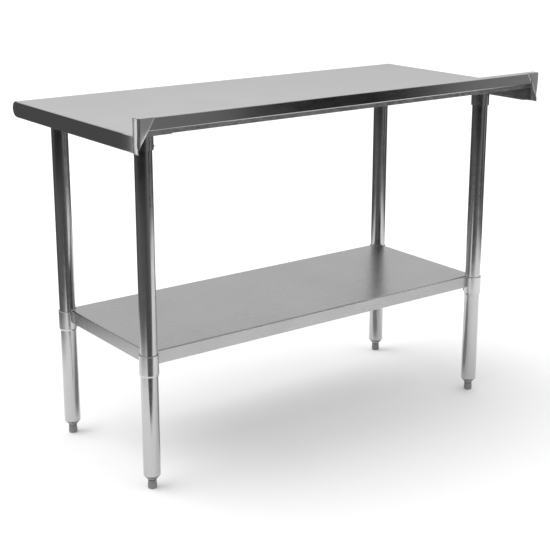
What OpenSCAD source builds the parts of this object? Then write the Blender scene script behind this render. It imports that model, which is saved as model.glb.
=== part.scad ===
// Stainless work table: rolled front edge, low upstand at the rear, round legs in sockets,
// height-adjustable undershelf on four collars, and four screw-adjusted feet.
// Frame: +X along the length, +Y towards the upstand, +Z up; the origin is on the floor,
// under the middle of the table. "Left" is -X and "front" is -Y.

/* [Overall] */
// Length of the worktop
table_length = 1219; // [1100:1:1800]
// Depth from the front of the rolled edge to the back of the upstand
table_depth = 610; // [590:1:760]
// Height of the work surface above the floor
work_height = 876; // [820:1:920]
// Height of the upstand above the work surface
upstand_height = 38; // [34:1:60]

/* [Worktop sheet] */
// Thickness of the worktop sheet
sheet_t = 1.2; // [1.0:0.1:2.0]
// Diameter of the rolled front edge
nose_d = 38; // [30:1:42]
// Height of the turned-down ends
skirt_height = 39.5; // [36:0.5:44]
// Width of the inward lip at the foot of each turned-down end
skirt_lip = 13; // [8:1:20]
// Outer radius of the folded corners
bend_r = 2.6; // [2.2:0.1:4]
// Depth of the ledge on top of the upstand
ledge_depth = 23; // [18:1:30]
// Height of the turned-down back of the ledge
ledge_back = 29; // [22:1:32]
// Width of the closing tab at the top of each end plate
tab_width = 41; // [30:1:60]

/* [Legs] */
// Outer diameter of the leg tube
leg_d = 41.3; // [38:0.1:42]
// Wall of the leg tube
leg_wall = 1.5; // [1.2:0.1:2.5]
// Leg centre to leg centre along the length
leg_span_x = 1050; // [900:2:1080]
// Distance of the front legs' centres behind the front edge
leg_front_inset = 79; // [76:1:100]
// Distance of the rear legs' centres in front of the upstand
leg_rear_inset = 103; // [90:1:130]
// Outer diameter of the leg sockets
socket_d = 47.8; // [47:0.2:56]
// Length of a socket below the underside of the worktop
socket_drop = 52; // [45:1:70]

/* [Undershelf] */
// Height of the shelf surface above the floor
shelf_height = 342; // [300:1:450]
// Thickness of the shelf sheet
shelf_t = 1.2; // [1.0:0.1:2.0]
// Height of the shelf's turned-down edges
shelf_skirt = 33.5; // [28:0.5:40]
// Outer diameter of the collars that hold the shelf on the legs
collar_d = 46.8; // [46:0.1:52]
// Length of a collar
collar_length = 51; // [40:1:60]

/* [Channels] */
// Depth of the stiffening channels
channel_depth = 18; // [17:1:22]
// Thickness of the channel sheet
channel_t = 1.5; // [1.2:0.1:2.0]
// Width of the web of the cross channels
cross_web = 96; // [92:1:110]
// Width of the web of the lengthwise channels
long_web = 70; // [50:1:90]
// Width of each channel flange
channel_flange = 17; // [16:1:22]

/* [Feet] */
// Diameter of the foot pad
foot_d = 22; // [20:1:28]
// Height of the foot below the leg
foot_height = 27; // [24:1:35]
// Diameter of the foot's screw
foot_screw_d = 12; // [10:1:14]
// Length of screw held inside the leg
foot_screw_grip = 46; // [40:1:60]

/* [Hidden] */
$fn = 64;

fit_gap = 0.3;      // clearance between pieces that slide or seat on each other
seam_gap = 0.25;    // visible line where two sheets are joined
over = 1;           // how far a cutting shape runs past what it cuts

half_length = table_length / 2;
front_y = -table_depth / 2;
nose_r = nose_d / 2;
nose_y = front_y + nose_r;
nose_z = work_height - nose_r;
tab_t = sheet_t;
ledge_rear_y = table_depth / 2 - tab_t - fit_gap;
upstand_y = ledge_rear_y - ledge_depth;
top_z = work_height + upstand_height;
deck_under = work_height - sheet_t;
skirt_foot = work_height - skirt_height;
nose_return = 14;   // flat strip that closes the rolled edge underneath
lip_notch = 14;     // how far the lip under each end stops short of the upstand
ledge_hem = 9;      // width of the strip turned in under the back of the ledge
hem_notch_foot = 30;  // how far below the top the ends of that strip are notched
hem_notch_gap = 2;

// The stiffening angle behind the foot of the upstand
stiffener_t = 1.5;
stiffener_up = 8;
stiffener_down = 3.5;
stiffener_leg = 24;
stiffener_gap = 3;  // clearance from each end plate
rivet_r = 1.6;
rivet_head_r = 3;
rivet_crown_r = 1.8;
rivet_head_h = 1.4;
rivet_rise = 3;     // above the underside of the worktop sheet
rivet_xs = [-0.125, 0.2];  // places along the table, as shares of its length

// The end plates step forward below the ledge
plate_step_top = 23;      // below the top of the upstand
plate_step_bottom = 60;
plate_low_depth = 16;     // how far the lower part stands behind the upstand
tab_drop = 71;

leg_r = leg_d / 2;
leg_x = leg_span_x / 2;
leg_front_y = front_y + leg_front_inset;
leg_rear_y = upstand_y - leg_rear_inset;
insert_nose = 9;            // height of the tapered end between a foot and its leg
leg_foot = foot_height + insert_nose;
leg_top = deck_under - 6;
dimple_r = 3;
dimple_depth = 1;
dimple_z = 272;
dimple_turn = 51;           // direction away from the length of the table

socket_r = socket_d / 2;
socket_bore = leg_r + fit_gap;
socket_gap = 3;           // between the top of a socket and the worktop sheet
socket_top = deck_under - socket_gap;
socket_foot = socket_top - socket_drop;
channel_foot = deck_under - channel_depth;
flange_side = 88;
flange_t = 3;
flange_z = channel_foot + channel_t;
bolt_spread = [34, 20];   // bolts on each side of a leg's centre, along X and Y
bolt_r = 3;
bolt_hole_r = 3.3;
bolt_head_r = 5.77;       // across the corners of a hexagon 10 mm across the flats
bolt_head_h = 4;
nut_h = 5;
washer_r = 6.2;
washer_t = 1;
bolt_past = 2.5;          // thread showing past the nut

stud_length = 15;
cross_stud_ys = [-215, -80, 40, 160];
centre_stud_xs = [-380, -190, 0, 190, 380];
channel_past_socket = 46;  // from a leg's centre to the end of its cross channel
cross_channel_front = leg_front_y - channel_past_socket;
cross_channel_rear = leg_rear_y + channel_past_socket;
centre_channel_gap = 4;
centre_channel_half = leg_x - cross_web / 2 - channel_flange - centre_channel_gap;
centre_y = (leg_front_y + leg_rear_y) / 2;

set_screw_r = 3;
set_screw_length = 4.4;
set_screw_key = 1.7;
set_screw_pocket = 2.4;
thread_gap = 0.05;        // between a screw and the hole it is driven through
set_screw_turn = 28;      // direction away from the length of the table
socket_screw_z = socket_foot + 7;
collar_screw_z = shelf_height - shelf_skirt - 11;

collar_r = collar_d / 2;
collar_top = shelf_height - 4;
collar_foot = collar_top - collar_length;
collar_chamfer = 4;
collar_taper = 1.1;
collar_lip = 0.8;         // bevel round the top of a collar
shelf_lip = 12;
shelf_under = shelf_height - shelf_t;
shelf_channel_inset = 75;
shelf_channel_half = leg_x - shelf_channel_inset;

insert_r = leg_r - leg_wall - 0.15;
insert_rim_r = leg_r - 0.4;
insert_rim = 1;
insert_top = leg_foot + 58;
insert_nose_r = 14;
screw_r = foot_screw_d / 2;
foot_r = foot_d / 2;
hex_h = 4;
pad_top = foot_height - hex_h - 2 * fit_gap;
pad_round = 3;
pad_pocket_r = 5;
pad_pocket_depth = 13;
hex_r = 9.2;

CORNERS = [[-1, -1], [1, -1], [-1, 1], [1, 1]];

function leg_y(side) = side < 0 ? leg_front_y : leg_rear_y;
function corner_at(corner) = [corner[0] * leg_x, leg_y(corner[1]), 0];

module at_corner(corner) { translate(corner_at(corner)) children(); }

// A quarter of a folded corner: outer radius r, centred on the origin, running along +Z,
// and filling the quadrant between +X and +Y.
module fold(r, t, length) {
    intersection() {
        difference() {
            cylinder(r = r, h = length);
            translate([0, 0, -over]) cylinder(r = r - t, h = length + 2 * over);
        }
        cube([r + over, r + over, length]);
    }
}

// The same fold, laid along +X from x0 with its axis at place = [y, z], and turned about it.
module fold_along_x(x0, length, place, r, t, turn) {
    translate([x0, place[0], place[1]]) rotate([turn, 0, 0]) rotate([90, 0, 90]) fold(r, t, length);
}

// A box given by its two corners
module box(low, high) { translate(low) cube(high - low); }

// A hexagon bar standing on the origin
module hexagon(r, h) { cylinder(r = r, h = h, $fn = 6); }

// ---------------------------------------------------------------- worktop sheet

module deck() {
    box([-half_length + bend_r, nose_y, deck_under],
        [half_length - bend_r, upstand_y - bend_r + sheet_t, work_height]);
    for (side = [-1, 1]) {
        edge = side * (half_length - bend_r);
        translate([edge, upstand_y, work_height - bend_r]) rotate([90, 0, 0])
            mirror([side < 0 ? 1 : 0, 0, 0]) fold(bend_r, sheet_t, upstand_y - nose_y);
    }
}

// A turned-down end with its inward lip
module skirt(side) {
    mirror([side < 0 ? 1 : 0, 0, 0]) {
        box([half_length - sheet_t, nose_y + seam_gap, skirt_foot + bend_r],
            [half_length, upstand_y, work_height - bend_r]);
        translate([half_length - bend_r, nose_y + seam_gap, skirt_foot + bend_r]) rotate([-90, 0, 0])
            fold(bend_r, sheet_t, upstand_y - nose_y - seam_gap);
        box([half_length - skirt_lip, nose_y + nose_return, skirt_foot],
            [half_length - bend_r, upstand_y - lip_notch, skirt_foot + sheet_t]);
    }
}

// The rolled front edge: half a tube, closed underneath by a flat return
module nose() {
    length = table_length - 2 * sheet_t - 2 * seam_gap;
    intersection() {
        translate([-length / 2, nose_y, nose_z]) rotate([0, 90, 0]) difference() {
            cylinder(r = nose_r, h = length, $fn = 96);
            translate([0, 0, -over]) cylinder(r = nose_r - sheet_t, h = length + 2 * over, $fn = 96);
        }
        box([-half_length, front_y - over, nose_z - nose_r - over], [half_length, nose_y, work_height + over]);
    }
    box([-length / 2, nose_y, nose_z - nose_r], [length / 2, nose_y + nose_return, nose_z - nose_r + sheet_t]);
}

// The upstand with its ledge and turned-down back
module upstand() {
    half = half_length - sheet_t - seam_gap;
    length = 2 * half;
    back_foot = top_z - ledge_back;
    fold_along_x(-half, length, [upstand_y - bend_r + sheet_t, deck_under + bend_r], bend_r, sheet_t, -90);
    box([-half, upstand_y, deck_under + bend_r], [half, upstand_y + sheet_t, top_z - bend_r]);
    fold_along_x(-half, length, [upstand_y + bend_r, top_z - bend_r], bend_r, sheet_t, 90);
    box([-half, upstand_y + bend_r, top_z - sheet_t], [half, ledge_rear_y - bend_r, top_z]);
    fold_along_x(-half, length, [ledge_rear_y - bend_r, top_z - bend_r], bend_r, sheet_t, 0);
    difference() {
        union() {
            box([-half, ledge_rear_y - sheet_t, back_foot + bend_r], [half, ledge_rear_y, top_z - bend_r]);
            fold_along_x(-half, length, [ledge_rear_y - bend_r, back_foot + bend_r], bend_r, sheet_t, -90);
            box([-half, ledge_rear_y - ledge_hem, back_foot],
                [half, ledge_rear_y - bend_r, back_foot + sheet_t]);
        }
        for (side = [-1, 1]) mirror([side < 0 ? 1 : 0, 0, 0]) ledge_notch();
    }
}

// How wide the slanted tab of an end plate is, this far below the top
function tab_at(drop) = tab_width * (1 - drop / tab_drop);

// Room for an end plate's tab where it passes in front of the turned-down back
module ledge_notch() {
    step_z = top_z - plate_step_top + over;
    foot_z = top_z - hem_notch_foot;
    translate([half_length, upstand_y + sheet_t + over, 0]) rotate([90, 0, 0]) mirror([0, 0, 1])
        linear_extrude(ledge_depth + 2 * over) polygon([
            [over, step_z],
            [-tab_at(plate_step_top) - hem_notch_gap, step_z],
            [-tab_at(hem_notch_foot) - hem_notch_gap, foot_z],
            [over, foot_z],
        ]);
}

module worktop() {
    color([0.78, 0.78, 0.79]) {
        deck();
        skirt(-1);
        skirt(1);
        nose();
        upstand();
    }
}

// Half-round plate that closes one end of the rolled edge
module nose_cap(side) {
    color([0.7, 0.7, 0.71]) mirror([side < 0 ? 1 : 0, 0, 0])
        translate([half_length - sheet_t, nose_y, nose_z]) rotate([0, 90, 0]) intersection() {
            cylinder(r = nose_r, h = sheet_t, $fn = 96);
            translate([-nose_r - over, -nose_r - over, -over]) cube([nose_d + 2 * over, nose_r + over, nose_r]);
        }
}

// Side view of the end plate's rear edge, as [y, z]
function plate_edge(y_shift) = [
    [table_depth / 2 - y_shift, top_z],
    [table_depth / 2 - y_shift, top_z - plate_step_top],
    [upstand_y + plate_low_depth - y_shift, top_z - plate_step_bottom],
    [upstand_y + plate_low_depth - y_shift, skirt_foot],
];

// Folded plate that closes one end of the upstand, with a slanted tab across the back
module end_plate(side) {
    color([0.74, 0.74, 0.75]) mirror([side < 0 ? 1 : 0, 0, 0]) {
        translate([half_length - sheet_t, 0, 0]) rotate([90, 0, 90]) linear_extrude(sheet_t)
            polygon(concat([[upstand_y + seam_gap, skirt_foot], [upstand_y + seam_gap, top_z]], plate_edge(0)));
        intersection() {
            translate([half_length - tab_width, 0, 0]) rotate([90, 0, 90]) linear_extrude(tab_width)
                polygon(concat(plate_edge(0), [for (i = [3:-1:0]) plate_edge(tab_t)[i]]));
            translate([half_length, table_depth, 0]) rotate([90, 0, 0]) linear_extrude(table_depth)
                polygon([[0, top_z], [-tab_width, top_z], [-sheet_t, top_z - tab_drop], [0, top_z - tab_drop]]);
        }
    }
}

// Where a rivet goes through the stiffener, its axis along +Y from the stiffener's rear face
module rivet_places() {
    for (share = rivet_xs)
        translate([share * table_length, upstand_y + sheet_t + stiffener_t, deck_under + rivet_rise])
            rotate([-90, 0, 0]) children();
}

// Angle that stiffens the foot of the upstand from behind
module rear_stiffener() {
    half = half_length - sheet_t - stiffener_gap;
    face_y = upstand_y + sheet_t + stiffener_t;
    foot_z = deck_under - stiffener_down;
    color([0.7, 0.7, 0.71]) difference() {
        union() {
            box([-half, upstand_y + sheet_t, foot_z], [half, face_y, work_height + stiffener_up]);
            box([-half, face_y - stiffener_leg, foot_z], [half, face_y, foot_z + stiffener_t]);
        }
        rivet_places() translate([0, 0, -stiffener_t - over])
            cylinder(r = rivet_r + thread_gap, h = stiffener_t + 2 * over);
    }
}

module stiffener_rivets() {
    color([0.85, 0.85, 0.86]) rivet_places() {
        cylinder(r1 = rivet_head_r, r2 = rivet_crown_r, h = rivet_head_h, $fn = 32);
        translate([0, 0, -stiffener_t]) cylinder(r = rivet_r, h = stiffener_t);
    }
}

// ---------------------------------------------------------------- channels under the worktop

// Hat section in the XZ plane, web at the bottom, flanges at height top, running along +Y
module hat(web, top, length) {
    half = web / 2;
    low = top - channel_depth;
    rotate([90, 0, 0]) mirror([0, 0, 1]) linear_extrude(length) polygon([
        [-half - channel_flange, top], [-half + channel_t, top], [-half + channel_t, low + channel_t],
        [half - channel_t, low + channel_t], [half - channel_t, top], [half + channel_flange, top],
        [half + channel_flange, top - channel_t], [half, top - channel_t], [half, low],
        [-half, low], [-half, top - channel_t], [-half - channel_flange, top - channel_t],
    ]);
}

module stud_hole() {
    translate([0, 0, deck_under - channel_t - over]) cylinder(r = bolt_hole_r, h = channel_t + 2 * over);
}

module cross_channel(side) {
    color([0.66, 0.67, 0.69]) difference() {
        translate([side * leg_x, cross_channel_front, 0])
            hat(cross_web, deck_under, cross_channel_rear - cross_channel_front);
        for (row = [-1, 1]) {
            at_corner([side, row]) translate([0, 0, channel_foot - over])
                cylinder(r = socket_r + fit_gap, h = channel_t + 2 * over);
            socket_bolt_places([side, row]) translate([0, 0, channel_foot - over])
                cylinder(r = bolt_hole_r, h = channel_t + 2 * over);
        }
        for (place = cross_stud_places(side)) translate(place) stud_hole();
    }
}

function cross_stud_places(side) = [
    for (y = cross_stud_ys, s = [-1, 1]) [side * leg_x + s * (cross_web + channel_flange) / 2, y, 0]
];
function centre_stud_places() = [
    for (x = centre_stud_xs, s = [-1, 1]) [x, centre_y + s * (long_web + channel_flange) / 2, 0]
];
function stud_places() = concat(cross_stud_places(-1), cross_stud_places(1), centre_stud_places());

module centre_channel() {
    color([0.66, 0.67, 0.69]) difference() {
        translate([centre_channel_half, centre_y, 0]) rotate([0, 0, 90])
            hat(long_web, deck_under, 2 * centre_channel_half);
        for (place = centre_stud_places()) translate(place) stud_hole();
    }
}

module weld_studs() {
    color([0.6, 0.6, 0.62]) for (place = stud_places())
        translate([place[0], place[1], deck_under - stud_length])
            cylinder(r = bolt_r, h = stud_length, $fn = 24);
}

module stud_washers() {
    color([0.75, 0.75, 0.76]) for (place = stud_places())
        translate([place[0], place[1], deck_under - channel_t - washer_t]) difference() {
            cylinder(r = washer_r, h = washer_t, $fn = 32);
            translate([0, 0, -over]) cylinder(r = bolt_r + 0.2, h = washer_t + 2 * over, $fn = 24);
        }
}

// A hexagon nut hanging below z = 0
module nut() {
    translate([0, 0, -nut_h]) difference() {
        hexagon(bolt_head_r, nut_h);
        translate([0, 0, -over]) cylinder(r = bolt_r + thread_gap, h = nut_h + 2 * over, $fn = 24);
    }
}

module stud_nuts() {
    color([0.7, 0.7, 0.72]) for (place = stud_places())
        translate([place[0], place[1], deck_under - channel_t - washer_t]) nut();
}

// ---------------------------------------------------------------- leg sockets

// Where a socket's clamping screw points, as a turn about the leg
function screw_turn(corner) = corner[0] > 0 ? 180 - corner[1] * set_screw_turn : corner[1] * set_screw_turn;

module socket_bolt_places(corner) {
    at_corner(corner) for (dx = [-1, 1], dy = [-1, 1])
        translate([dx * bolt_spread[0], dy * bolt_spread[1], 0]) children();
}

// Tube that takes the top of a leg, with a flange that lies inside the channel, on its web
module leg_socket(corner) {
    height = socket_top - socket_foot;
    color([0.7, 0.7, 0.71]) difference() {
        at_corner(corner) {
            translate([0, 0, socket_foot]) cylinder(r = socket_r, h = height, $fn = 96);
            translate([-flange_side / 2, -flange_side / 2, flange_z])
                cube([flange_side, flange_side, flange_t]);
        }
        at_corner(corner) {
            translate([0, 0, socket_foot - over]) cylinder(r = socket_bore, h = height + 2 * over, $fn = 96);
            translate([0, 0, socket_screw_z]) rotate([0, 90, screw_turn(corner)])
                cylinder(r = set_screw_r + thread_gap, h = socket_r + over, $fn = 32);
        }
        socket_bolt_places(corner) translate([0, 0, flange_z - over])
            cylinder(r = bolt_hole_r, h = flange_t + 2 * over);
    }
}

// Bolts up through the channel and the flange, heads below
module socket_bolts() {
    shank = channel_t + flange_t + nut_h + bolt_past;
    color([0.7, 0.7, 0.72]) for (corner = CORNERS) socket_bolt_places(corner) translate([0, 0, channel_foot]) {
        translate([0, 0, -bolt_head_h]) hexagon(bolt_head_r, bolt_head_h);
        cylinder(r = bolt_r, h = shank, $fn = 24);
    }
}

module socket_nuts() {
    color([0.7, 0.7, 0.72]) for (corner = CORNERS) socket_bolt_places(corner)
        translate([0, 0, flange_z + flange_t + nut_h]) nut();
}

// A headless clamping screw pointing along +X, its tip just off the leg
module set_screw() {
    tip = leg_r + fit_gap;
    translate([tip, 0, 0]) rotate([0, 90, 0]) difference() {
        cylinder(r = set_screw_r, h = set_screw_length, $fn = 32);
        translate([0, 0, set_screw_length - set_screw_pocket]) hexagon(set_screw_key, set_screw_pocket + over);
    }
}

module socket_set_screws() {
    color([0.8, 0.8, 0.8]) for (corner = CORNERS) at_corner(corner)
        translate([0, 0, socket_screw_z]) rotate([0, 0, screw_turn(corner)]) set_screw();
}

// ---------------------------------------------------------------- legs and feet

module leg(corner) {
    length = leg_top - leg_foot;
    turn = corner[0] > 0 ? -corner[1] * dimple_turn : 180 + corner[1] * dimple_turn;
    color([0.75, 0.75, 0.76]) at_corner(corner) difference() {
        translate([0, 0, leg_foot]) cylinder(r = leg_r, h = length, $fn = 96);
        translate([0, 0, leg_foot - over]) cylinder(r = leg_r - leg_wall, h = length + 2 * over, $fn = 96);
        translate([0, 0, dimple_z]) rotate([0, 90, turn]) translate([0, 0, leg_r - dimple_depth])
            cylinder(r = dimple_r, h = dimple_depth + over, $fn = 24);
    }
}

// Plug pressed into the bottom of a leg: a threaded bush with a tapered end that shows below the tube
module leg_insert(corner) {
    color([0.62, 0.63, 0.65]) at_corner(corner) difference() {
        union() {
            translate([0, 0, foot_height])
                cylinder(r1 = insert_nose_r, r2 = insert_rim_r, h = insert_nose - insert_rim, $fn = 96);
            translate([0, 0, leg_foot - insert_rim]) cylinder(r = insert_rim_r, h = insert_rim, $fn = 96);
            translate([0, 0, leg_foot]) cylinder(r = insert_r, h = insert_top - leg_foot, $fn = 96);
        }
        translate([0, 0, foot_height - over])
            cylinder(r = screw_r + fit_gap, h = insert_top - foot_height + 2 * over, $fn = 64);
    }
}

// Foot pad: a turned puck with a rounded foot and a pocket for the end of the screw
module foot_pad(corner) {
    color([0.36, 0.37, 0.38]) at_corner(corner) difference() {
        rotate_extrude($fn = 96) union() {
            square([foot_r - pad_round, pad_top]);
            translate([0, pad_round]) square([foot_r, pad_top - pad_round]);
            translate([foot_r - pad_round, pad_round]) circle(r = pad_round, $fn = 64);
        }
        translate([0, 0, pad_top - pad_pocket_depth]) cylinder(r = pad_pocket_r, h = pad_pocket_depth + over);
    }
}

// Foot screw: swivel pin in the pad, hexagon for the spanner, and the thread's shank in the leg
module foot_screw(corner) {
    color([0.42, 0.43, 0.44]) at_corner(corner) {
        translate([0, 0, pad_top - pad_pocket_depth + fit_gap])
            cylinder(r = pad_pocket_r - fit_gap, h = pad_pocket_depth, $fn = 48);
        translate([0, 0, pad_top + fit_gap]) hexagon(hex_r, hex_h);
        translate([0, 0, pad_top + fit_gap + hex_h]) cylinder(r = screw_r, h = foot_screw_grip, $fn = 48);
    }
}

// ---------------------------------------------------------------- undershelf

// One turned-down edge of the shelf, along +X from -half to half, facing -Y at y = 0
module shelf_edge(half) {
    top_r = bend_r;
    translate([-half, top_r, shelf_height - top_r]) mirror([0, 1, 0]) rotate([90, 0, 90])
        fold(top_r, shelf_t, 2 * half);
    box([-half, 0, shelf_height - shelf_skirt], [half, shelf_t, shelf_height - top_r]);
    box([-half, 0, shelf_height - shelf_skirt], [half, shelf_lip, shelf_height - shelf_skirt + shelf_t]);
}

module undershelf() {
    depth = leg_rear_y - leg_front_y;
    color([0.74, 0.75, 0.76]) difference() {
        union() {
            box([-leg_x + bend_r, leg_front_y + bend_r, shelf_under],
                [leg_x - bend_r, leg_rear_y - bend_r, shelf_height]);
            translate([0, leg_front_y, 0]) shelf_edge(leg_x - bend_r);
            translate([0, leg_rear_y, 0]) rotate([0, 0, 180]) shelf_edge(leg_x - bend_r);
            translate([-leg_x, centre_y, 0]) rotate([0, 0, -90]) shelf_edge(depth / 2 - bend_r);
            translate([leg_x, centre_y, 0]) rotate([0, 0, 90]) shelf_edge(depth / 2 - bend_r);
        }
        for (corner = CORNERS) at_corner(corner) translate([0, 0, shelf_height - shelf_skirt - over])
            cylinder(r = collar_r + thread_gap, h = shelf_skirt + 2 * over, $fn = 96);
    }
}

module shelf_channel() {
    color([0.66, 0.67, 0.69]) translate([shelf_channel_half, centre_y, 0]) rotate([0, 0, 90])
        hat(long_web, shelf_under, 2 * shelf_channel_half);
}

// Where a collar's clamping screw points, as a turn about the leg
function inward_turn(corner) = atan2(-corner[1], -corner[0]);

// Ring round a leg, welded to the corner of the shelf, bevelled at the top and tapered at the foot
module shelf_collar(corner) {
    body = collar_length - collar_chamfer - collar_lip;
    color([0.72, 0.73, 0.74]) at_corner(corner) difference() {
        translate([0, 0, collar_foot]) {
            cylinder(r1 = collar_r - collar_taper, r2 = collar_r, h = collar_chamfer, $fn = 96);
            translate([0, 0, collar_chamfer]) cylinder(r = collar_r, h = body, $fn = 96);
            translate([0, 0, collar_chamfer + body])
                cylinder(r1 = collar_r, r2 = collar_r - collar_lip, h = collar_lip, $fn = 96);
        }
        translate([0, 0, collar_foot - over])
            cylinder(r = leg_r + fit_gap, h = collar_length + 2 * over, $fn = 96);
        translate([0, 0, collar_screw_z]) rotate([0, 90, inward_turn(corner)])
            cylinder(r = set_screw_r + thread_gap, h = collar_r + over, $fn = 32);
    }
}

module collar_set_screws() {
    color([0.8, 0.8, 0.8]) for (corner = CORNERS) at_corner(corner)
        translate([0, 0, collar_screw_z]) rotate([0, 0, inward_turn(corner)]) set_screw();
}

worktop();
nose_cap(-1);  // nose_cap_left
nose_cap(1);  // nose_cap_right
end_plate(-1);  // end_plate_left
end_plate(1);  // end_plate_right
rear_stiffener();
stiffener_rivets();
cross_channel(-1);  // cross_channel_left
cross_channel(1);  // cross_channel_right
centre_channel();
weld_studs();
stud_nuts();
stud_washers();
leg_socket(CORNERS[0]);  // leg_socket_front_left
leg_socket(CORNERS[1]);  // leg_socket_front_right
leg_socket(CORNERS[2]);  // leg_socket_rear_left
leg_socket(CORNERS[3]);  // leg_socket_rear_right
socket_bolts();
socket_nuts();
socket_set_screws();
leg(CORNERS[0]);  // leg_front_left
leg(CORNERS[1]);  // leg_front_right
leg(CORNERS[2]);  // leg_rear_left
leg(CORNERS[3]);  // leg_rear_right
leg_insert(CORNERS[0]);  // leg_insert_front_left
leg_insert(CORNERS[1]);  // leg_insert_front_right
leg_insert(CORNERS[2]);  // leg_insert_rear_left
leg_insert(CORNERS[3]);  // leg_insert_rear_right
undershelf();
shelf_channel();
shelf_collar(CORNERS[0]);  // shelf_collar_front_left
shelf_collar(CORNERS[1]);  // shelf_collar_front_right
shelf_collar(CORNERS[2]);  // shelf_collar_rear_left
shelf_collar(CORNERS[3]);  // shelf_collar_rear_right
collar_set_screws();
foot_pad(CORNERS[0]);  // foot_pad_front_left
foot_pad(CORNERS[1]);  // foot_pad_front_right
foot_pad(CORNERS[2]);  // foot_pad_rear_left
foot_pad(CORNERS[3]);  // foot_pad_rear_right
foot_screw(CORNERS[0]);  // foot_screw_front_left
foot_screw(CORNERS[1]);  // foot_screw_front_right
foot_screw(CORNERS[2]);  // foot_screw_rear_left
foot_screw(CORNERS[3]);  // foot_screw_rear_right
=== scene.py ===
"""Looks for the stainless work table: materials, small detail pieces, floor, light and camera."""
import math

import bpy
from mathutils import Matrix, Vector


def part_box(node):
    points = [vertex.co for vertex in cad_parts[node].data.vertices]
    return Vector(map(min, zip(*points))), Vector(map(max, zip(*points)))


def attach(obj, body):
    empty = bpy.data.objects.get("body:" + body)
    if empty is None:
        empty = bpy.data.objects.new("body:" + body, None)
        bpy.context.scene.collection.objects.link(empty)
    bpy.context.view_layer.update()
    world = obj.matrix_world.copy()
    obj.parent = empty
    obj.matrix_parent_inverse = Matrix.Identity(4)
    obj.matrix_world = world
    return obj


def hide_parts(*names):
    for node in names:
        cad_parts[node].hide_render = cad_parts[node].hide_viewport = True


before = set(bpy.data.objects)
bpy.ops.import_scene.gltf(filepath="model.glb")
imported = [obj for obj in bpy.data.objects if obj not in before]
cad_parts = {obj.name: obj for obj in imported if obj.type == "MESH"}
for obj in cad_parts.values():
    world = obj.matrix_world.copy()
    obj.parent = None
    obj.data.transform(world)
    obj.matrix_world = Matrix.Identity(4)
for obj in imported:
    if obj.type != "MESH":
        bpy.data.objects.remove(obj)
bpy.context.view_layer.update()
scene = bpy.context.scene
MM = 0.001
TURN = 2 * math.pi
DEGREES = 180 / math.pi

CORNERS = ("front_left", "front_right", "rear_left", "rear_right")

# ------------------------------------------------------------------ camera

CAMERA_PLACE = (1.906, 2.540, 1.357)
CAMERA_YAW = math.radians(36.44)       # turn of the view away from -Y, towards -X
CAMERA_PITCH = math.radians(15.4)      # below the horizon
CAMERA_LENS = 81.8       # in millimetres
CAMERA_SENSOR = 36.0
CAMERA_SHIFT = -0.06


def make_camera():
    """A camera behind the table, off its right end, at standing height."""
    data = bpy.data.cameras.new("camera")
    data.lens = CAMERA_LENS
    data.sensor_width = CAMERA_SENSOR
    data.shift_y = CAMERA_SHIFT
    data.clip_end = 200.0
    camera = bpy.data.objects.new("camera", data)
    scene.collection.objects.link(camera)
    forward = Vector((-math.sin(CAMERA_YAW) * math.cos(CAMERA_PITCH),
                      -math.cos(CAMERA_YAW) * math.cos(CAMERA_PITCH),
                      -math.sin(CAMERA_PITCH)))
    camera.location = CAMERA_PLACE
    camera.rotation_mode = "QUATERNION"
    camera.rotation_quaternion = forward.to_track_quat("-Z", "Y")
    scene.camera = camera


# ------------------------------------------------------------------ node helpers


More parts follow.
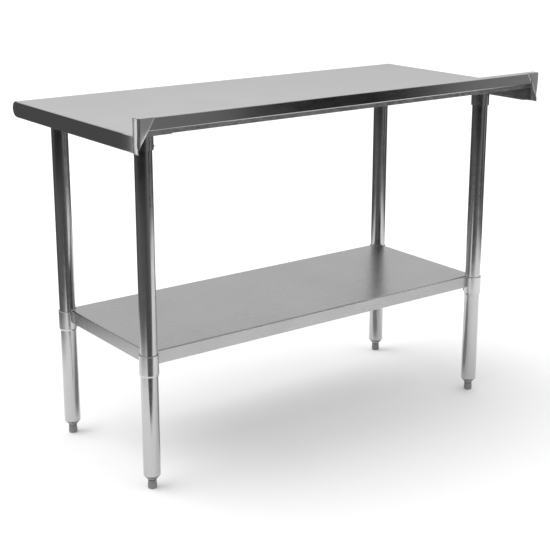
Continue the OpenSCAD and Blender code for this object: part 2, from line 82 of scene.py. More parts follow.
class Nodes:
    """Short calls for building a node tree."""

    def __init__(self, name):
        self.material = bpy.data.materials.new(name)
        self.material.use_nodes = True
        self.tree = self.material.node_tree
        self.tree.nodes.clear()
        self.output = self.add("ShaderNodeOutputMaterial")

    def add(self, kind, inputs=None, **settings):
        """A node with its settings, its sockets set to values or linked to other sockets."""
        node = self.tree.nodes.new(kind)
        for key, value in settings.items():
            setattr(node, key, value)
        for key, value in (inputs or {}).items():
            self.put(node, key, value)
        return node

    def put(self, node, key, value):
        socket = node.inputs[key]
        if isinstance(value, bpy.types.NodeSocket):
            self.tree.links.new(value, socket)
        else:
            socket.default_value = value

    def math(self, operation, a, b=0.0, clamp=False):
        return self.add("ShaderNodeMath", {0: a, 1: b}, operation=operation, use_clamp=clamp).outputs[0]

    def vector(self, operation, a, b=(0, 0, 0)):
        node = self.add("ShaderNodeVectorMath", {0: a, 1: b}, operation=operation)
        return node.outputs["Value" if operation in ("DOT_PRODUCT", "LENGTH") else "Vector"]

    def place(self):
        """The object's own coordinates, in metres."""
        return self.add("ShaderNodeTexCoord").outputs["Object"]

    def noise(self, scale, detail=3.0, roughness=0.55, at=None, stretch=None):
        """Noise from 0 to 1; scale is cells to the metre, along each axis if stretch is given."""
        at = at or self.place()
        if stretch:
            at = self.vector("MULTIPLY", at, stretch)
        return self.add("ShaderNodeTexNoise", {"Vector": at, "Scale": scale, "Detail": detail,
                                               "Roughness": roughness}).outputs[0]

    def remap(self, value, low, high, out_low, out_high):
        return self.add("ShaderNodeMapRange", {"Value": value, "From Min": low, "From Max": high,
                                               "To Min": out_low, "To Max": out_high}).outputs[0]

    def ease(self, value, low, high):
        """0 at low, 1 at high, with a soft start and end."""
        return self.add("ShaderNodeMapRange", {"Value": value, "From Min": low, "From Max": high,
                                               "To Min": 0.0, "To Max": 1.0},
                        interpolation_type="SMOOTHSTEP").outputs[0]

    def mix(self, factor, a, b):
        """A colour between a and b."""
        node = self.add("ShaderNodeMix", {0: factor, 6: a, 7: b}, data_type="RGBA")
        return node.outputs[2]

    def rubbed_and_highlit_edge(self, normal, radius):
        """1 where the surface turns a corner within the radius, 0 on the flat: the mask for edges rubbed
        smoother and for a painted edge highlight.
        """
        bevel = self.add("ShaderNodeBevel", {"Radius": radius}, samples=4).outputs[0]
        return self.remap(self.vector("DOT_PRODUCT", normal, bevel), 0.96, 0.75, 0, 1)

    def surface(self, shader_output):
        """Makes this shader the material's surface."""
        self.put(self.output, "Surface", shader_output)
        return self.material

    def one_sided(self, front):
        """The surface shows this shader from its front, and nothing from behind."""
        back = self.add("ShaderNodeNewGeometry").outputs["Backfacing"]
        clear = self.add("ShaderNodeBsdfTransparent").outputs[0]
        return self.surface(self.add("ShaderNodeMixShader", {0: back, 1: front, 2: clear}).outputs[0])

    def bump(self, height, distance, normal=None):
        inputs = {"Height": height, "Distance": distance}
        if normal is not None:
            inputs["Normal"] = normal
        return self.add("ShaderNodeBump", inputs).outputs[0]

    def principled(self, **inputs):
        """A plain shader. Underscores in the names stand for spaces."""
        values = {name.replace("_", " "): value for name, value in inputs.items()}
        return self.add("ShaderNodeBsdfPrincipled", values).outputs[0]

    def metal(self, **inputs):
        return self.surface(self.principled(Metallic=1.0, **inputs))


def grey(level, warmth=0.0):
    """A grey, warmer if warmth is above 0 and cooler if below."""
    return (level * (1 + warmth), level, level * (1 - warmth), 1)


# ------------------------------------------------------------------ materials

GRAIN_BIAS = 0.03        # keeps the grain's direction defined on the faces that look along it
GRAIN_LENGTH = 60        # how many times longer than wide a hair of the grain is
GRAIN_FINENESS = 900     # hairs to the metre, across the grain
END_FACING = 0.7         # a face that looks along X by more than this is an end
MIRROR_LIMIT = 0.9       # the brightest that the painted highlight on an edge gets


def brushed(name, level, roughness, anisotropy, streak=0.05, grain=0.003 * MM, rub=0.03, smudge=0.05,
            wave=0.12 * MM):
    """Brushed stainless sheet: grain along X, turning down over the ends, with long faint streaks,
    wiped smudges, a slight waviness of the sheet, and edges rubbed smoother and painted brighter as a
    highlight."""
    n = Nodes(name)
    normal = n.add("ShaderNodeNewGeometry").outputs["Normal"]
    facing = n.vector("DOT_PRODUCT", normal, (1, 0, 0))
    on_end = n.math("GREATER_THAN", n.math("ABSOLUTE", facing), END_FACING)
    stretch = n.add("ShaderNodeMix", {0: on_end, 4: (1 / GRAIN_LENGTH, 1, 1), 5: (1, 1, 1 / GRAIN_LENGTH)},
                    data_type="VECTOR")
    at = n.vector("MULTIPLY", n.place(), stretch.outputs[1])
    hair = n.noise(GRAIN_FINENESS, 2, 0.6, at)
    streaks = n.noise(GRAIN_FINENESS / 5, 4, 0.6, at)
    smudges = n.noise(5, 4, 0.55)
    scratches = n.noise(420, 0, 0.5, at)
    scratch = n.remap(scratches, 0.74, 0.78, 0, 1)
    edge = n.rubbed_and_highlit_edge(normal, 0.9 * MM)
    tone = n.mix(streaks, grey(level * (1 - streak)), grey(level * (1 + streak)))
    tone = n.mix(n.math("MULTIPLY", scratch, 0.35), tone, grey(level * 0.8))
    # painted highlight: the base colour turns lighter along edges and corners
    tone = n.mix(n.math("MULTIPLY", edge, 0.5), tone, grey(min(MIRROR_LIMIT, level * 1.35)))
    rough = n.math("ADD", n.remap(hair, 0.3, 0.7, roughness - rub, roughness + rub),
                   n.remap(smudges, 0.35, 0.7, -smudge, smudge))
    rough = n.math("SUBTRACT", rough, n.math("MULTIPLY", edge, 0.08), clamp=True)
    swell = n.bump(n.noise(3.2, 2, 0.45), wave)
    bumped = n.bump(hair, grain, swell)
    tangent = n.vector("CROSS_PRODUCT", normal, (1, 0, GRAIN_BIAS))
    return n.metal(Base_Color=tone, Roughness=rough, Anisotropic=anisotropy, Normal=bumped, Tangent=tangent)


def tube(name, level, roughness, anisotropy):
    """Polished tube: fine rings round it from the polishing belt, faint handling marks, and edges rubbed
    smoother and painted brighter as a highlight.
    """
    n = Nodes(name)
    normal = n.add("ShaderNodeNewGeometry").outputs["Normal"]
    rings = n.noise(1, 2, 0.5, stretch=(12, 12, 1600))
    bands = n.noise(1, 3, 0.6, stretch=(4, 4, 60))
    marks = n.noise(28, 4, 0.6)
    edge = n.rubbed_and_highlit_edge(normal, 0.7 * MM)
    tone = n.mix(bands, grey(level * 0.96), grey(level * 1.03))
    # painted highlight: the base colour turns lighter along edges and corners
    tone = n.mix(n.math("MULTIPLY", edge, 0.6), tone, grey(min(MIRROR_LIMIT, level * 1.3)))
    rough = n.math("ADD", n.remap(rings, 0.3, 0.7, roughness - 0.03, roughness + 0.03),
                   n.remap(marks, 0.45, 0.75, 0, 0.06))
    swell = n.bump(n.noise(1, 2, 0.5, stretch=(9, 9, 5)), 0.02 * MM)
    bumped = n.bump(rings, 0.001 * MM, swell)
    tangent = n.vector("CROSS_PRODUCT", n.vector("CROSS_PRODUCT", (0, 0, 1), normal), normal)
    return n.metal(Base_Color=tone, Roughness=rough, Anisotropic=anisotropy, Normal=bumped, Tangent=tangent)


def galvanised(name, level):
    """Zinc-dipped sheet: crystals a centimetre across, each with its own sheen, and dull oxide."""
    n = Nodes(name)
    cells = n.add("ShaderNodeTexVoronoi", {"Vector": n.place(), "Scale": 130.0, "Randomness": 1.0})
    cell = n.add("ShaderNodeSeparateColor", {0: cells.outputs["Color"]}).outputs[0]
    cloud = n.noise(14, 5, 0.6)
    frost = n.noise(900, 2, 0.5)
    tone = n.mix(cell, grey(level * 0.82, -0.012), grey(level * 1.16, -0.012))
    tone = n.mix(n.remap(cloud, 0.5, 0.75, 0, 0.5), tone, grey(level * 1.1))
    rough = n.math("ADD", n.remap(cell, 0, 1, 0.33, 0.52), n.remap(cloud, 0.4, 0.8, 0, 0.14))
    ridge = n.remap(cells.outputs["Distance"], 0, 0.008, 0, 1)
    bumped = n.bump(frost, 0.01 * MM, n.bump(ridge, 0.03 * MM))
    return n.metal(Base_Color=tone, Roughness=rough, Normal=bumped)


def plated(name, level, roughness):
    """Bright zinc plate on small hardware."""
    n = Nodes(name)
    cloud = n.noise(160, 3, 0.6)
    pits = n.noise(1800, 2, 0.5)
    tone = n.mix(cloud, grey(level * 0.9, -0.01), grey(level * 1.08, 0.012))
    rough = n.remap(cloud, 0.3, 0.7, roughness - 0.06, roughness + 0.1)
    return n.metal(Base_Color=tone, Roughness=rough, Normal=n.bump(pits, 0.012 * MM))


def moulded(name, level):
    """Moulded dark grey foot: fine spark-eroded texture, scuffed pale round the sole."""
    n = Nodes(name)
    texture = n.noise(2600, 3, 0.6)
    cloud = n.noise(90, 4, 0.6)
    height = n.add("ShaderNodeSeparateXYZ", {0: n.place()}).outputs[2]
    scuffs = n.remap(n.noise(500, 4, 0.7), 0.4, 0.7, 0, 1)
    sole = n.math("MULTIPLY", n.remap(height, 0.0, 6 * MM, 1, 0), scuffs)
    tone = n.mix(cloud, grey(level * 0.85), grey(level * 1.12))
    tone = n.mix(n.math("MULTIPLY", sole, 0.5), tone, grey(level * 2.2))
    rough = n.remap(texture, 0.3, 0.7, 0.42, 0.6)
    return n.surface(n.principled(Base_Color=tone, Roughness=rough, Normal=n.bump(texture, 0.05 * MM)))


LOOKS = {
    "worktop_steel": brushed("worktop_steel", 0.605, 0.17, 0.65, smudge=0.02, wave=0.04 * MM),
    "shelf_steel": brushed("shelf_steel", 0.49, 0.28, 0.5, streak=0.018, grain=0.001 * MM, rub=0.008,
                           smudge=0.03, wave=0.05 * MM),
    "leg_tube": tube("leg_tube", 0.52, 0.13, 0.5),
    "socket_steel": tube("socket_steel", 0.60, 0.17, 0.4),
    "insert_steel": plated("insert_steel", 0.27, 0.36),
    # the end plates' brushed steel, its base colour raised well above the worktop's so that the side of the
    # near end plate reads light: painted light
    "plate_steel_painted_light": brushed("plate_steel_painted_light", 0.84, 0.30, 0.3, rub=0.015, smudge=0.02, wave=0.03 * MM),
    "galvanised": galvanised("galvanised", 0.5),
    "zinc_hardware": plated("zinc_hardware", 0.56, 0.28),
    "foot_grey": moulded("foot_grey", 0.185),
}


def dress(obj, look):
    obj.data.materials.clear()
    obj.data.materials.append(LOOKS[look])


# ------------------------------------------------------------------ stage

FLOOR_RADIUS = 60.0
POOL_CENTRE = (-0.30, 0.30, 0.0)
POOL_RADIUS = 1.70       # of the floor round the table that the metal sees brightly lit
POOL_SOFTNESS = 0.30
WEDGE_TIP = (0.725, 0.524, 0.0)      # where a dark wedge points into it from the camera's side
WEDGE_TURN = 78          # the wedge's direction, in degrees from +X
WEDGE_HALF = 56          # and half its angle
WEDGE_SOFTNESS = 7       # in degrees
UNDER_CENTRE = (0.0, -0.04, 0.0)     # the shaded floor under the table
UNDER_SIZE = (0.46, 0.24, 1.0)
UNDER_LEVEL = 0.30
UNDER_START = 0.75       # shares of that size where the shade starts and stops fading
UNDER_END = 1.15
CARD_RISE = 2 * MM       # of the card with these shapes on it above the floor
SURROUND_RADIUS = 12.0
SURROUND_STEPS = 24

# What the metal sees beyond the lit floor, by direction in degrees from +X towards +Y, far off and nearer
FAR_TONES = ((-180, 0.10), (-130, 0.12), (-90, 0.10), (-56, 0.09), (-30, 0.10), (-5, 0.03), (40, 0.01),
             (75, 0.02), (88, 0.12), (104, 0.21), (119, 0.20), (122, 0.00), (131, 0.00), (136, 0.24),
             (148, 0.34), (163, 0.08), (180, 0.10))
NEAR_TONES = ((-180, 0.10), (-130, 0.12), (-90, 0.10), (-56, 0.09), (-30, 0.16), (-5, 0.16), (25, 0.13),
              (60, 0.11), (80, 0.16), (100, 0.22), (112, 0.10), (128, 0.06), (145, 0.16), (163, 0.10),
              (180, 0.10))
NEAR_RADIUS = 3.3        # how far out the near tones reach
FAR_RADIUS = 3.9         # and where the far ones start
# How high above the horizon that darkness reaches, in degrees, by direction
DARK_HEIGHTS = ((-180, 5), (-60, 5), (-30, 12), (40, 18), (80, 30), (135, 32), (160, 10), (180, 5))
RISE = 8                 # degrees over which the surround then turns bright
UPPER_LEVEL = 0.80       # of the surround above the darkness
WORLD_LEVEL = 1.0
SUN_STRENGTH = 1.15
SUN_ANGLE = math.radians(50)
SUN_FROM = (0.5, -0.3, 1.0)
SMALL_CARD_LOW = (0.6585, 0.20, 0.79)    # corners of the small bright card beside the end plate
SMALL_CARD_HIGH = (0.705, 0.20, 0.905)
SMALL_CARD_LEVEL = 1.1


def link(name, data):
    obj = bpy.data.objects.new(name, data)
    scene.collection.objects.link(obj)
    return obj


def disc(name, radius, height, segments=96):
    """A flat disc that faces up."""
    points = [(radius * math.cos(TURN * i / segments), radius * math.sin(TURN * i / segments), height)
              for i in range(segments)]
    mesh = bpy.data.meshes.new(name)
    mesh.from_pydata(points, [], [tuple(range(segments))])
    return link(name, mesh)


def only_reflected(obj):
    """The object is seen in reflections, and nowhere else."""
    obj.visible_camera = False
    obj.visible_diffuse = False
    obj.visible_transmission = False
    obj.visible_volume_scatter = False
    obj.visible_shadow = False


def by_direction(n, levels, scale=1.0):
    """A ramp of levels round the table, each at its direction in degrees."""
    split = n.add("ShaderNodeSeparateXYZ", {0: n.place()})
    angle = n.math("ARCTAN2", split.outputs[1], split.outputs[0])
    ramp = n.add("ShaderNodeValToRGB", {0: n.remap(angle, -math.pi, math.pi, 0, 1)})
    stops = ramp.color_ramp.elements
    for i, (degrees, level) in enumerate(levels):
        place = (degrees + 180) / 360
        stop = stops[i] if i < 2 else stops.new(place)    # a new ramp has two stops already
        stop.position = place
        stop.color = grey(level * scale)
    ramp.color_ramp.interpolation = "EASE"
    return ramp.outputs[0]


def make_floor():
    """A pale floor with one side only, so that a view from below shows the table's underside."""
    floor = disc("floor", FLOOR_RADIUS, 0)
    n = Nodes("floor_paint")
    cloud = n.mix(n.noise(0.7, 3, 0.5), grey(0.92), grey(0.94))
    floor.data.materials.append(n.one_sided(n.principled(Base_Color=cloud, Roughness=0.9)))
    return floor


def wedge_cover(n):
    """1 inside the dark wedge, 0 outside it."""
    split = n.add("ShaderNodeSeparateXYZ", {0: n.vector("SUBTRACT", n.place(), WEDGE_TIP)})
    turn = n.math("MULTIPLY", n.math("ARCTAN2", split.outputs[1], split.outputs[0]), DEGREES)
    aside = n.math("ABSOLUTE", n.math("SUBTRACT", turn, WEDGE_TURN))
    return n.ease(aside, WEDGE_HALF + WEDGE_SOFTNESS, WEDGE_HALF - WEDGE_SOFTNESS)


def make_floor_card():
    """The floor as the metal mirrors it: dark beyond a lit pool, in a wedge, and under the table."""
    card = disc("dark_floor_card", SURROUND_RADIUS, CARD_RISE)
    n = Nodes("dark_floor")
    reach = n.vector("LENGTH", n.place())
    tone = n.mix(n.remap(reach, NEAR_RADIUS, FAR_RADIUS, 0, 1), by_direction(n, NEAR_TONES),
                 by_direction(n, FAR_TONES))
    away = n.vector("LENGTH", n.vector("SUBTRACT", n.place(), POOL_CENTRE))
    beyond = n.ease(away, POOL_RADIUS - POOL_SOFTNESS, POOL_RADIUS + POOL_SOFTNESS)
    from_middle = n.vector("DIVIDE", n.vector("SUBTRACT", n.place(), UNDER_CENTRE), UNDER_SIZE)
    under = n.ease(n.vector("LENGTH", from_middle), UNDER_END, UNDER_START)
    glow = n.add("ShaderNodeEmission", {"Color": n.mix(under, tone, grey(UNDER_LEVEL))}).outputs[0]
    clear = n.add("ShaderNodeBsdfTransparent").outputs[0]
    cover = n.math("MAXIMUM", n.math("MAXIMUM", beyond, wedge_cover(n)), under)
    n.surface(n.add("ShaderNodeMixShader", {0: cover, 1: clear, 2: glow}).outputs[0])
    card.data.materials.append(n.material)
    return card


def make_surround():
    """A dome that carries the far tones up to the height of the darkness, and is bright above it."""
    quarter = math.pi / 2
    profile = [disc_ring(SURROUND_RADIUS * math.cos(quarter * i / SURROUND_STEPS),
                         SURROUND_RADIUS * math.sin(quarter * i / SURROUND_STEPS))
               for i in range(SURROUND_STEPS)]
    dome = build("surround", [shell(profile, 64, caps=(False, True))])
    n = Nodes("surround")
    tone = by_direction(n, FAR_TONES)
    dark_height = n.math("MULTIPLY", by_direction(n, DARK_HEIGHTS, scale=1 / 90), 90)
    height = n.math("DIVIDE", n.add("ShaderNodeSeparateXYZ", {0: n.place()}).outputs[2], SURROUND_RADIUS)
    above = n.math("SUBTRACT", n.math("MULTIPLY", n.math("ARCSINE", height), DEGREES), dark_height)
    tone = n.mix(n.remap(above, 0, RISE, 0, 1), tone, grey(UPPER_LEVEL))
    n.surface(n.add("ShaderNodeEmission", {"Color": tone}).outputs[0])
    dome.data.materials.append(n.material)
    return dome


def make_small_card():
    """A bright card that shines only towards +Y, so that the side of the near end plate reads light."""
    (x0, y, z0), (x1, _, z1) = SMALL_CARD_LOW, SMALL_CARD_HIGH
    mesh = bpy.data.meshes.new("small_card")
    mesh.from_pydata([(x0, y, z0), (x0, y, z1), (x1, y, z1), (x1, y, z0)], [], [(0, 1, 2, 3)])
    n = Nodes("small_card")
    glow = n.add("ShaderNodeEmission", {"Color": grey(1.0), "Strength": SMALL_CARD_LEVEL}).outputs[0]
    mesh.materials.append(n.one_sided(glow))
    return link("small_card", mesh)


def make_light():
    """An even white world with a broad soft sun. The metal mirrors the stage instead of either."""
    world = bpy.data.worlds.new("world")
    scene.world = world
    world.use_nodes = True
    background = world.node_tree.nodes["Background"]
    background.inputs["Color"].default_value = grey(WORLD_LEVEL)
    background.inputs["Strength"].default_value = 1.0
    world.cycles_visibility.glossy = False
    sun = bpy.data.lights.new("sun", "SUN")
    sun.energy = SUN_STRENGTH
    sun.angle = SUN_ANGLE
    lamp = link("sun", sun)
    lamp.rotation_mode = "QUATERNION"
    lamp.rotation_quaternion = (-Vector(SUN_FROM)).to_track_quat("-Z", "Y")
    lamp.visible_glossy = False
    scene.view_settings.view_transform = "Standard"


def make_stage():
    floor = make_floor()
    floor_card = make_floor_card()
    surround = make_surround()
    small_card = make_small_card()
    for seen in (floor_card, surround, small_card):
        only_reflected(seen)
    make_light()


# ------------------------------------------------------------------ mesh helpers


def shell(rings, sides, caps=(True, True), centre=(0, 0, 0), closed=False):
    """Points and faces of a turned surface. Each ring is a function of the angle that gives (radius,
    height). The caps fill the first and last ring; a closed surface joins them to each other instead."""
    points, faces = [], []
    for ring in rings:
        for i in range(sides):
            angle = TURN * i / sides
            radius, height = ring(angle)
            points.append((centre[0] + radius * math.cos(angle), centre[1] + radius * math.sin(angle),
                           centre[2] + height))
    count = len(rings)
    for j in range(count if closed else count - 1):
        low, high = j * sides, (j + 1) % count * sides
        faces += [(low + i, low + (i + 1) % sides, high + (i + 1) % sides, high + i) for i in range(sides)]
    if not closed:
        last = (count - 1) * sides
        if caps[0]:
            faces.append(tuple(reversed(range(sides))))
        if caps[1]:
            faces.append(tuple(range(last, last + sides)))
    return points, faces


def build(name, parts):
    """One mesh from several shells, each (points, faces) with faces counted from 0."""
    points, faces = [], []
    for shell_points, shell_faces in parts:
        first = len(points)
        points += shell_points
        faces += [tuple(first + i for i in face) for face in shell_faces]
    mesh = bpy.data.meshes.new(name)
    mesh.from_pydata(points, [], faces)
    mesh.update()
    return link(name, mesh)


def finish_piece(obj, look, body, *nodes, smooth=35, slot=None):
    """Shades the piece, gives it its material and body, and hides the CAD nodes that it stands for."""
    obj.data.shade_smooth()
    obj.data.set_sharp_from_angle(angle=math.radians(smooth))
    dress(obj, look)
    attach(obj, body)
    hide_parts(*nodes)


def bevelled(obj, width):
    bevel = obj.modifiers.new("edges", "BEVEL")
    bevel.width = width
    bevel.segments = 2
    bevel.limit_method = "ANGLE"
    bevel.angle_limit = math.radians(40)


def soften(obj, width):
    """Rounds a CAD node's sharp edges: joins its triangles into whole faces, then bevels."""
    weld = obj.modifiers.new("weld", "WELD")
    weld.merge_threshold = 0.002 * MM
    flat = obj.modifiers.new("flats", "DECIMATE")
    flat.decimate_type = "DISSOLVE"
    flat.angle_limit = math.radians(0.4)
    bevelled(obj, width)


# ------------------------------------------------------------------ screws and nuts

HEX_LEAN = math.tan(math.radians(30))    # slope of the chamfer on a nut or bolt head
HEX_RIM = 0.97           # where that chamfer starts, as a share of half the size across the flats


def hex_radius(flats, angle):
    """Distance from the axis to a hexagon's side; flats is the size across the flats."""
    sixth = math.pi / 3
    return flats / 2 / math.cos((angle % sixth) - sixth / 2)


def hex_rings(flats, low, high):
    """A hexagon between two heights, chamfered at both ends."""
    rim = flats / 2 * HEX_RIM

    def drop(angle):
        return HEX_LEAN * max(0.0, hex_radius(flats, angle) - rim)

    return [
        lambda a: (min(rim, hex_radius(flats, a)), low),
        lambda a: (hex_radius(flats, a), low + drop(a)),
        lambda a: (hex_radius(flats, a), high - drop(a)),
        lambda a: (min(rim, hex_radius(flats, a)), high),
    ]


def thread_rings(radius, pitch, low, high, per_turn=6, depth=0.58):
    """Rings up a threaded shank. The thread fades in at the low end and out over its last turn. Its
    depth is a share of the pitch."""
    count = int(round((high - low) / pitch * per_turn))

    def ring(j):
        z = low + (high - low) * j / count
        ends = min(1.0, (high - z) / (0.8 * pitch), (z - low) / (0.5 * pitch) + 0.05)

        def at(angle):
            phase = (z / pitch - angle / TURN) % 1.0
            tooth = max(0.0, min(1.0, 2.6 * (1 - abs(2 * phase - 1)) - 0.6))    # flat crest and root
            cut = depth * pitch * (1 - tooth * max(0.0, ends))
            return radius - cut, z
        return at

    return [ring(j) for j in range(count + 1)]


def disc_ring(radius, height):
    return lambda a: (radius, height)


def nut_shell(centre, flats, bore, height, sides):
    """A nut as one closed skin, its thread's mouth countersunk at both faces."""
    lip = 0.5 * MM
    rings = [disc_ring(bore + lip, 0.0)] + hex_rings(flats, 0.0, height)
    rings += [disc_ring(bore + lip, height), disc_ring(bore, height - lip), disc_ring(bore, lip)]
    return shell(rings, sides, centre=centre, closed=True)


SAME_PLACE = 0.01 * MM   # vertices closer than this are one corner


def island_boxes(node):
    """The box of each separate solid in a CAD node."""
    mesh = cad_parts[node].data
    parent = {}

    def key(vertex):
        return tuple(round(c / SAME_PLACE) for c in mesh.vertices[vertex].co)

    def root(k):
        while parent.setdefault(k, k) != k:
            parent[k] = parent[parent[k]]
            k = parent[k]
        return k

    for face in mesh.polygons:
        first = root(key(face.vertices[0]))
        for vertex in face.vertices[1:]:
            parent[root(key(vertex))] = first
    boxes = {}
    for vertex in range(len(mesh.vertices)):
        co = mesh.vertices[vertex].co
        low, high = boxes.setdefault(root(key(vertex)), (co.copy(), co.copy()))
        for axis in range(3):
            low[axis] = min(low[axis], co[axis])
            high[axis] = max(high[axis], co[axis])
    return [boxes[k] for k in sorted(boxes)]


def islands(node):
    """The middle of each solid's foot in a CAD node, and the solid's height."""
    return [((low.x + high.x) / 2, (low.y + high.y) / 2, low.z, high.z - low.z)
            for low, high in island_boxes(node)]


M6_RADIUS = 2.95 * MM
M6_BORE = 2.5 * MM
M6_PITCH = 1.0 * MM
M6_FLATS = 10 * MM
M6_HEAD = 4 * MM
THREAD_LEAD = 0.2 * MM   # plain shank before a thread starts
STUD_SIDES = 24
HEX_SIDES = 48


def make_studs():
    """Threaded studs welded under the worktop, thread downwards."""
    parts = []
    for x, y, z, length in islands("weld_studs"):
        rings = [disc_ring(M6_RADIUS * 0.7, 0.0)]
        rings += thread_rings(M6_RADIUS, M6_PITCH, THREAD_LEAD, length - M6_PITCH - THREAD_LEAD)
        rings += [disc_ring(M6_RADIUS * 0.86, length - M6_PITCH), disc_ring(M6_RADIUS, length)]
        parts.append(shell(rings, STUD_SIDES, centre=(x, y, z)))
    finish_piece(build("studs_threaded", parts), "zinc_hardware", "table_frame", "weld_studs")


def make_nuts(name, node):
    parts = [nut_shell((x, y, z), M6_FLATS, M6_BORE, height, HEX_SIDES) for x, y, z, height in islands(node)]
    finish_piece(build(name, parts), "zinc_hardware", "table_frame", node)


def make_bolts():
    """Hexagon-head bolts through the sockets' flanges and the channels, head down."""
    parts = []
    for x, y, z, length in islands("socket_bolts"):
        rings = [disc_ring(M6_FLATS * 0.36, 0.25 * MM), disc_ring(M6_FLATS * 0.40, 0.0)]    # dished face
        rings += hex_rings(M6_FLATS, 0.0, M6_HEAD)
        rings += [disc_ring(M6_RADIUS, M6_HEAD)]
        rings += thread_rings(M6_RADIUS, M6_PITCH, M6_HEAD + THREAD_LEAD, length)
        parts.append(shell(rings, HEX_SIDES, centre=(x, y, z)))
    finish_piece(build("bolts_threaded", parts), "zinc_hardware", "table_frame", "socket_bolts")


# ------------------------------------------------------------------ feet

SCREW_RADIUS = 6.0 * MM
SCREW_PITCH = 1.75 * MM
PIN_RADIUS = 4.7 * MM    # of the smooth pin that turns in the foot
PIN_BEVEL = 0.6 * MM
SPANNER_GAP = 0.3 * MM   # between the foot and the spanner hexagon
SPANNER_HEIGHT = 4 * MM


def foot_of(node):
    """The middle of a node's foot, half its width, and its height."""
    low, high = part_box(node)
    return ((low.x + high.x) / 2, (low.y + high.y) / 2, low.z), (high.x - low.x) / 2, high.z - low.z


def make_foot_screw(corner):
    """Swivel pin, spanner hexagon and long thread, as one turned piece."""
    node = "foot_screw_" + corner
    centre, across_corners, top = foot_of(node)
    flats = 2 * across_corners * math.cos(math.pi / 6)
    hex_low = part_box("foot_pad_" + corner)[1].z + SPANNER_GAP - centre[2]
    hex_high = hex_low + SPANNER_HEIGHT
    rings = [disc_ring(PIN_RADIUS - PIN_BEVEL, 0.0), disc_ring(PIN_RADIUS, PIN_BEVEL),
             disc_ring(PIN_RADIUS, hex_low)]
    rings += hex_rings(flats, hex_low, hex_high)
    rings += [disc_ring(SCREW_RADIUS * 0.98, hex_high), disc_ring(SCREW_RADIUS * 0.84, hex_high + 0.5 * MM)]
    rings += thread_rings(SCREW_RADIUS, SCREW_PITCH, hex_high + 0.9 * MM, top - 0.3 * MM, per_turn=8)
    rings += [disc_ring(SCREW_RADIUS * 0.62, top)]
    piece = build("levelling_screw_" + corner, [shell(rings, HEX_SIDES, centre=centre)])
    finish_piece(piece, "zinc_hardware", "screw_" + corner, node)


SOLE_ROUND = 2.6 * MM    # radius of the foot's rounded bottom edge
SHOULDER = 1.4 * MM      # width of its rolled top edge
SHOULDER_FLATNESS = 0.7  # and its height, as a share of that
POCKET_RADIUS = 5.0 * MM     # of the hole that takes the screw's pin
POCKET_DEPTH = 13 * MM
POCKET_LEAD = 0.4 * MM
ROUND_STEPS = 7
# The foot's side between its rounded edges: height as a share of the whole, and how far in it stands
FOOT_SIDE = ((0.42, 0.0), (0.55, 0.22 * MM), (0.72, 0.55 * MM), (0.84, 0.75 * MM), (0.865, 1.15 * MM),
             (0.90, 1.15 * MM), (0.925, 0.6 * MM))


def make_foot_pad(corner):
    """Moulded foot: soft rounded sole, a side that draws in to a groove, rolled shoulder, pin's pocket."""
    node = "foot_pad_" + corner
    centre, radius, height = foot_of(node)
    quarters = [math.pi / 2 * i / ROUND_STEPS for i in range(ROUND_STEPS + 1)]
    rings = [disc_ring(radius - SOLE_ROUND - 1.2 * MM, 0.0)]
    rings += [disc_ring(radius - SOLE_ROUND * (1 - math.sin(a)), SOLE_ROUND * (1 - math.cos(a)))
              for a in quarters]
    rings += [disc_ring(radius - inset, height * share) for share, inset in FOOT_SIDE]
    top_radius = radius - FOOT_SIDE[-1][1]
    rings += [disc_ring(top_radius - SHOULDER * (1 - math.cos(a)),
                        height - SHOULDER * SHOULDER_FLATNESS * (1 - math.sin(a))) for a in quarters]
    rings += [disc_ring(POCKET_RADIUS + POCKET_LEAD, height), disc_ring(POCKET_RADIUS, height - POCKET_LEAD),
              disc_ring(POCKET_RADIUS, height - POCKET_DEPTH)]
    piece = build("foot_" + corner, [shell(rings, 64, centre=centre)])
    finish_piece(piece, "foot_grey", "foot_" + corner, node)


# ------------------------------------------------------------------ end plates

SHEET = 1.2 * MM
FOLD = 6.0 * MM          # radius of the fold between an end plate's side and its tab
FOLD_STEPS = 8
FRONT_ROUND = ((0.9 * MM, 0.0), (0.25 * MM, 0.6 * MM), (0.0, 1.6 * MM))   # eased front edge: inset, depth
CURL = 3.5 * MM          # width of the eased strip along the tab's slanted edge
CURL_DEPTH = 0.4 * MM
STEP_DEPTH = 3.5 * MM    # how far forward the plate steps below the ledge
STEP_START = 22 * MM     # below the top
STEP_HEIGHT = 50 * MM
TAB_DROP = 71 * MM       # from the top to where the slanted edge meets the side
TAB_LEAST = SHEET + 0.4 * MM
TOP_GAP = 0.15 * MM      # keeps the thickened sheet inside the CAD's box
PLATE_LEVELS = 56
FLAT_STEPS = 3


def plate_outline(below, depth, tab):
    """The plate's section at a height below its top: from the front edge, back along the side and round
    the fold, then across the tab. Each point is (inset from the plate's outer face, depth)."""
    step = min(1.0, max(0.0, (below - STEP_START) / STEP_HEIGHT))
    back = depth - STEP_DEPTH * step * step * (3 - 2 * step)
    reach = max(TAB_LEAST, tab * (1 - below / TAB_DROP))
    radius = min(FOLD, reach * 0.85, back * 0.7)
    outline = list(FRONT_ROUND) + [(0.0, (back - radius) / 2)]
    for i in range(FOLD_STEPS + 1):
        a = math.pi / 2 * i / FOLD_STEPS
        outline.append((radius * (1 - math.cos(a)), back - radius * (1 - math.sin(a))))
    flat = max(0.0, reach - radius - CURL)
    outline += [(radius + flat * k / FLAT_STEPS, back) for k in range(1, FLAT_STEPS + 1)]
    curl = min(CURL, (reach - radius) * 0.9)
    for k in range(1, FLAT_STEPS + 1):
        share = k / FLAT_STEPS
        outline.append((radius + flat + curl * share, back - CURL_DEPTH * share ** 2 * curl / CURL))
    return outline


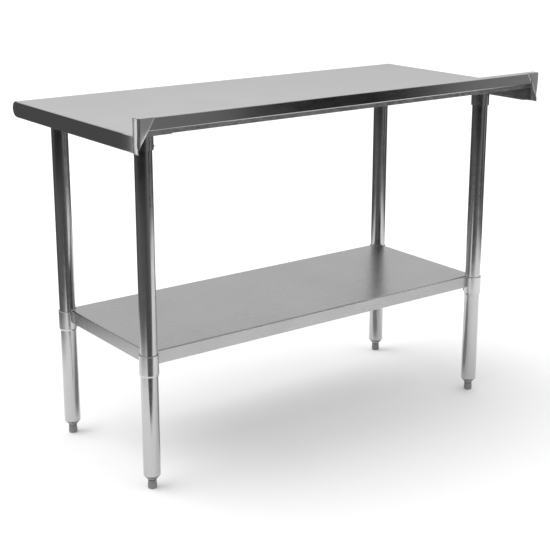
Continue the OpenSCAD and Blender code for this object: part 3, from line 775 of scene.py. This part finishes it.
def make_end_plate(side, sign):
    """The end plate as one folded sheet: a side that closes the upstand, a soft vertical fold that
    steps forward below the ledge, and the slanted tab across the back."""
    node = "end_plate_" + side
    low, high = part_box(node)
    outer = max(abs(low.x), abs(high.x))
    tab = high.x - low.x
    points = []
    for j in range(PLATE_LEVELS + 1):
        z = low.z + (high.z - TOP_GAP - low.z) * j / PLATE_LEVELS
        outline = plate_outline(high.z - z, high.y - low.y, tab)
        points += [(sign * (outer - inset), low.y + depth, z) for inset, depth in outline]
    across = len(outline)
    faces = [(j * across + i, j * across + i + 1, (j + 1) * across + i + 1, (j + 1) * across + i)
             for j in range(PLATE_LEVELS) for i in range(across - 1)]
    if sign < 0:
        faces = [tuple(reversed(face)) for face in faces]
    piece = build("end_plate_folded_" + side, [(points, faces)])
    sheet = piece.modifiers.new("sheet", "SOLIDIFY")
    sheet.thickness = SHEET
    sheet.offset = -1
    sheet.use_even_offset = True
    bevelled(piece, 0.25 * MM)
    finish_piece(piece, "plate_steel_painted_light", "table_frame", node, smooth=50, slot="worktop_steel")


# ------------------------------------------------------------------ the whole scene

# The look of each CAD node, by how its name starts; the first that fits is taken
LOOK_OF = (("worktop", "worktop_steel"), ("nose_cap", "worktop_steel"), ("end_plate", "plate_steel_painted_light"),
           ("cross_channel", "galvanised"), ("centre_channel", "galvanised"), ("shelf_channel", "galvanised"),
           ("rear_stiffener", "galvanised"), ("undershelf", "shelf_steel"), ("foot_pad", "foot_grey"),
           ("leg_socket", "socket_steel"), ("shelf_collar", "socket_steel"), ("leg_insert", "insert_steel"),
           ("leg_", "leg_tube"), ("", "zinc_hardware"))
# How wide the folded sheets' edges are rounded
SOFTENED = (("worktop", 0.25 * MM), ("undershelf", 0.25 * MM), ("nose_cap", 0.3 * MM),
            ("cross_channel", 0.2 * MM), ("centre_channel", 0.2 * MM), ("shelf_channel", 0.2 * MM),
            ("rear_stiffener", 0.2 * MM))

make_camera()
make_stage()
for name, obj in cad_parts.items():
    dress(obj, next(look for start, look in LOOK_OF if name.startswith(start)))
    for start, width in SOFTENED:
        if name.startswith(start):
            soften(obj, width)

make_studs()
make_nuts("nuts_under_worktop", "stud_nuts")
make_nuts("nuts_in_channels", "socket_nuts")
make_bolts()
for corner in CORNERS:
    make_foot_screw(corner)
    make_foot_pad(corner)
make_end_plate("left", -1)
make_end_plate("right", 1)
